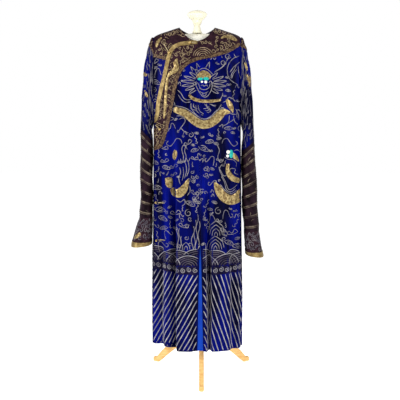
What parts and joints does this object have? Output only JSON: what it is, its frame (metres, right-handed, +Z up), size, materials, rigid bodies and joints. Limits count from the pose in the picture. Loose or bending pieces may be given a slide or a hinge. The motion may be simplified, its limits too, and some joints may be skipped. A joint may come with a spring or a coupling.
{
  "type": "court robe on a tripod dress form",
  "caption": "Side-closing blue silk court robe with dark collar facing, ribbed lower sleeves and flared cuffs, hanging on a limbless linen dress form with a wooden tripod.",
  "frame": {"origin": "on the floor, under the middle of the robe and stand together", "axes": "+Z up, the robe's front faces -Y, the wearer's left is +X"},
  "size_m": [0.5784, 0.3927, 1.571],
  "materials": {
    "blue_satin": "satin weave, deep royal blue",
    "gold_cloth": "gold thread cloth",
    "facing_silk": "dark brown purple silk with gold embroidery",
    "brocade": "gold brown brocade ribbon",
    "ribbed_silk": "purple brown ribbed silk",
    "lining_silk": "bright blue lining silk",
    "gilt_metal": "gilt",
    "linen": "cream linen over a hard shell",
    "cream_paint": "turned wood, cream paint",
    "pine": "pale pine, thin varnish"
  },
  "bodies": {
    "root": {"left_length": "blue_satin", "right_length": "blue_satin", "overlap_front": "blue_satin", "facing_left": "facing_silk", "facing_overlap": "facing_silk", "facing_right": "facing_silk", "border_front_left": "brocade", "border_back_left": "brocade", "border_overlap": "brocade", "border_front_right": "brocade", "border_back_right": "brocade", "overlap_binding": "gold_cloth", "upper_sleeve_left": "blue_satin", "upper_sleeve_right": "blue_satin", "lower_sleeve_left": "ribbed_silk", "lower_sleeve_right": "ribbed_silk", "cuff_left": "facing_silk", "cuff_right": "facing_silk", "cuff_edge_left": "gold_cloth", "cuff_edge_right": "gold_cloth", "slit_lining": "lining_silk", "form_torso": "linen", "finial": "cream_paint", "pole": "pine", "hub": "pine", "leg_1": "pine", "leg_2": "pine", "leg_3": "pine", "button_neck": "gilt_metal", "loop_neck": "gold_cloth", "button_collarbone": "gilt_metal", "loop_collarbone": "gold_cloth", "button_underarm": "gilt_metal", "loop_underarm": "gold_cloth", "button_side_upper": "gilt_metal", "loop_side_upper": "gold_cloth", "button_side_lower": "gilt_metal", "loop_side_lower": "gold_cloth"}
  },
  "joints": []
}
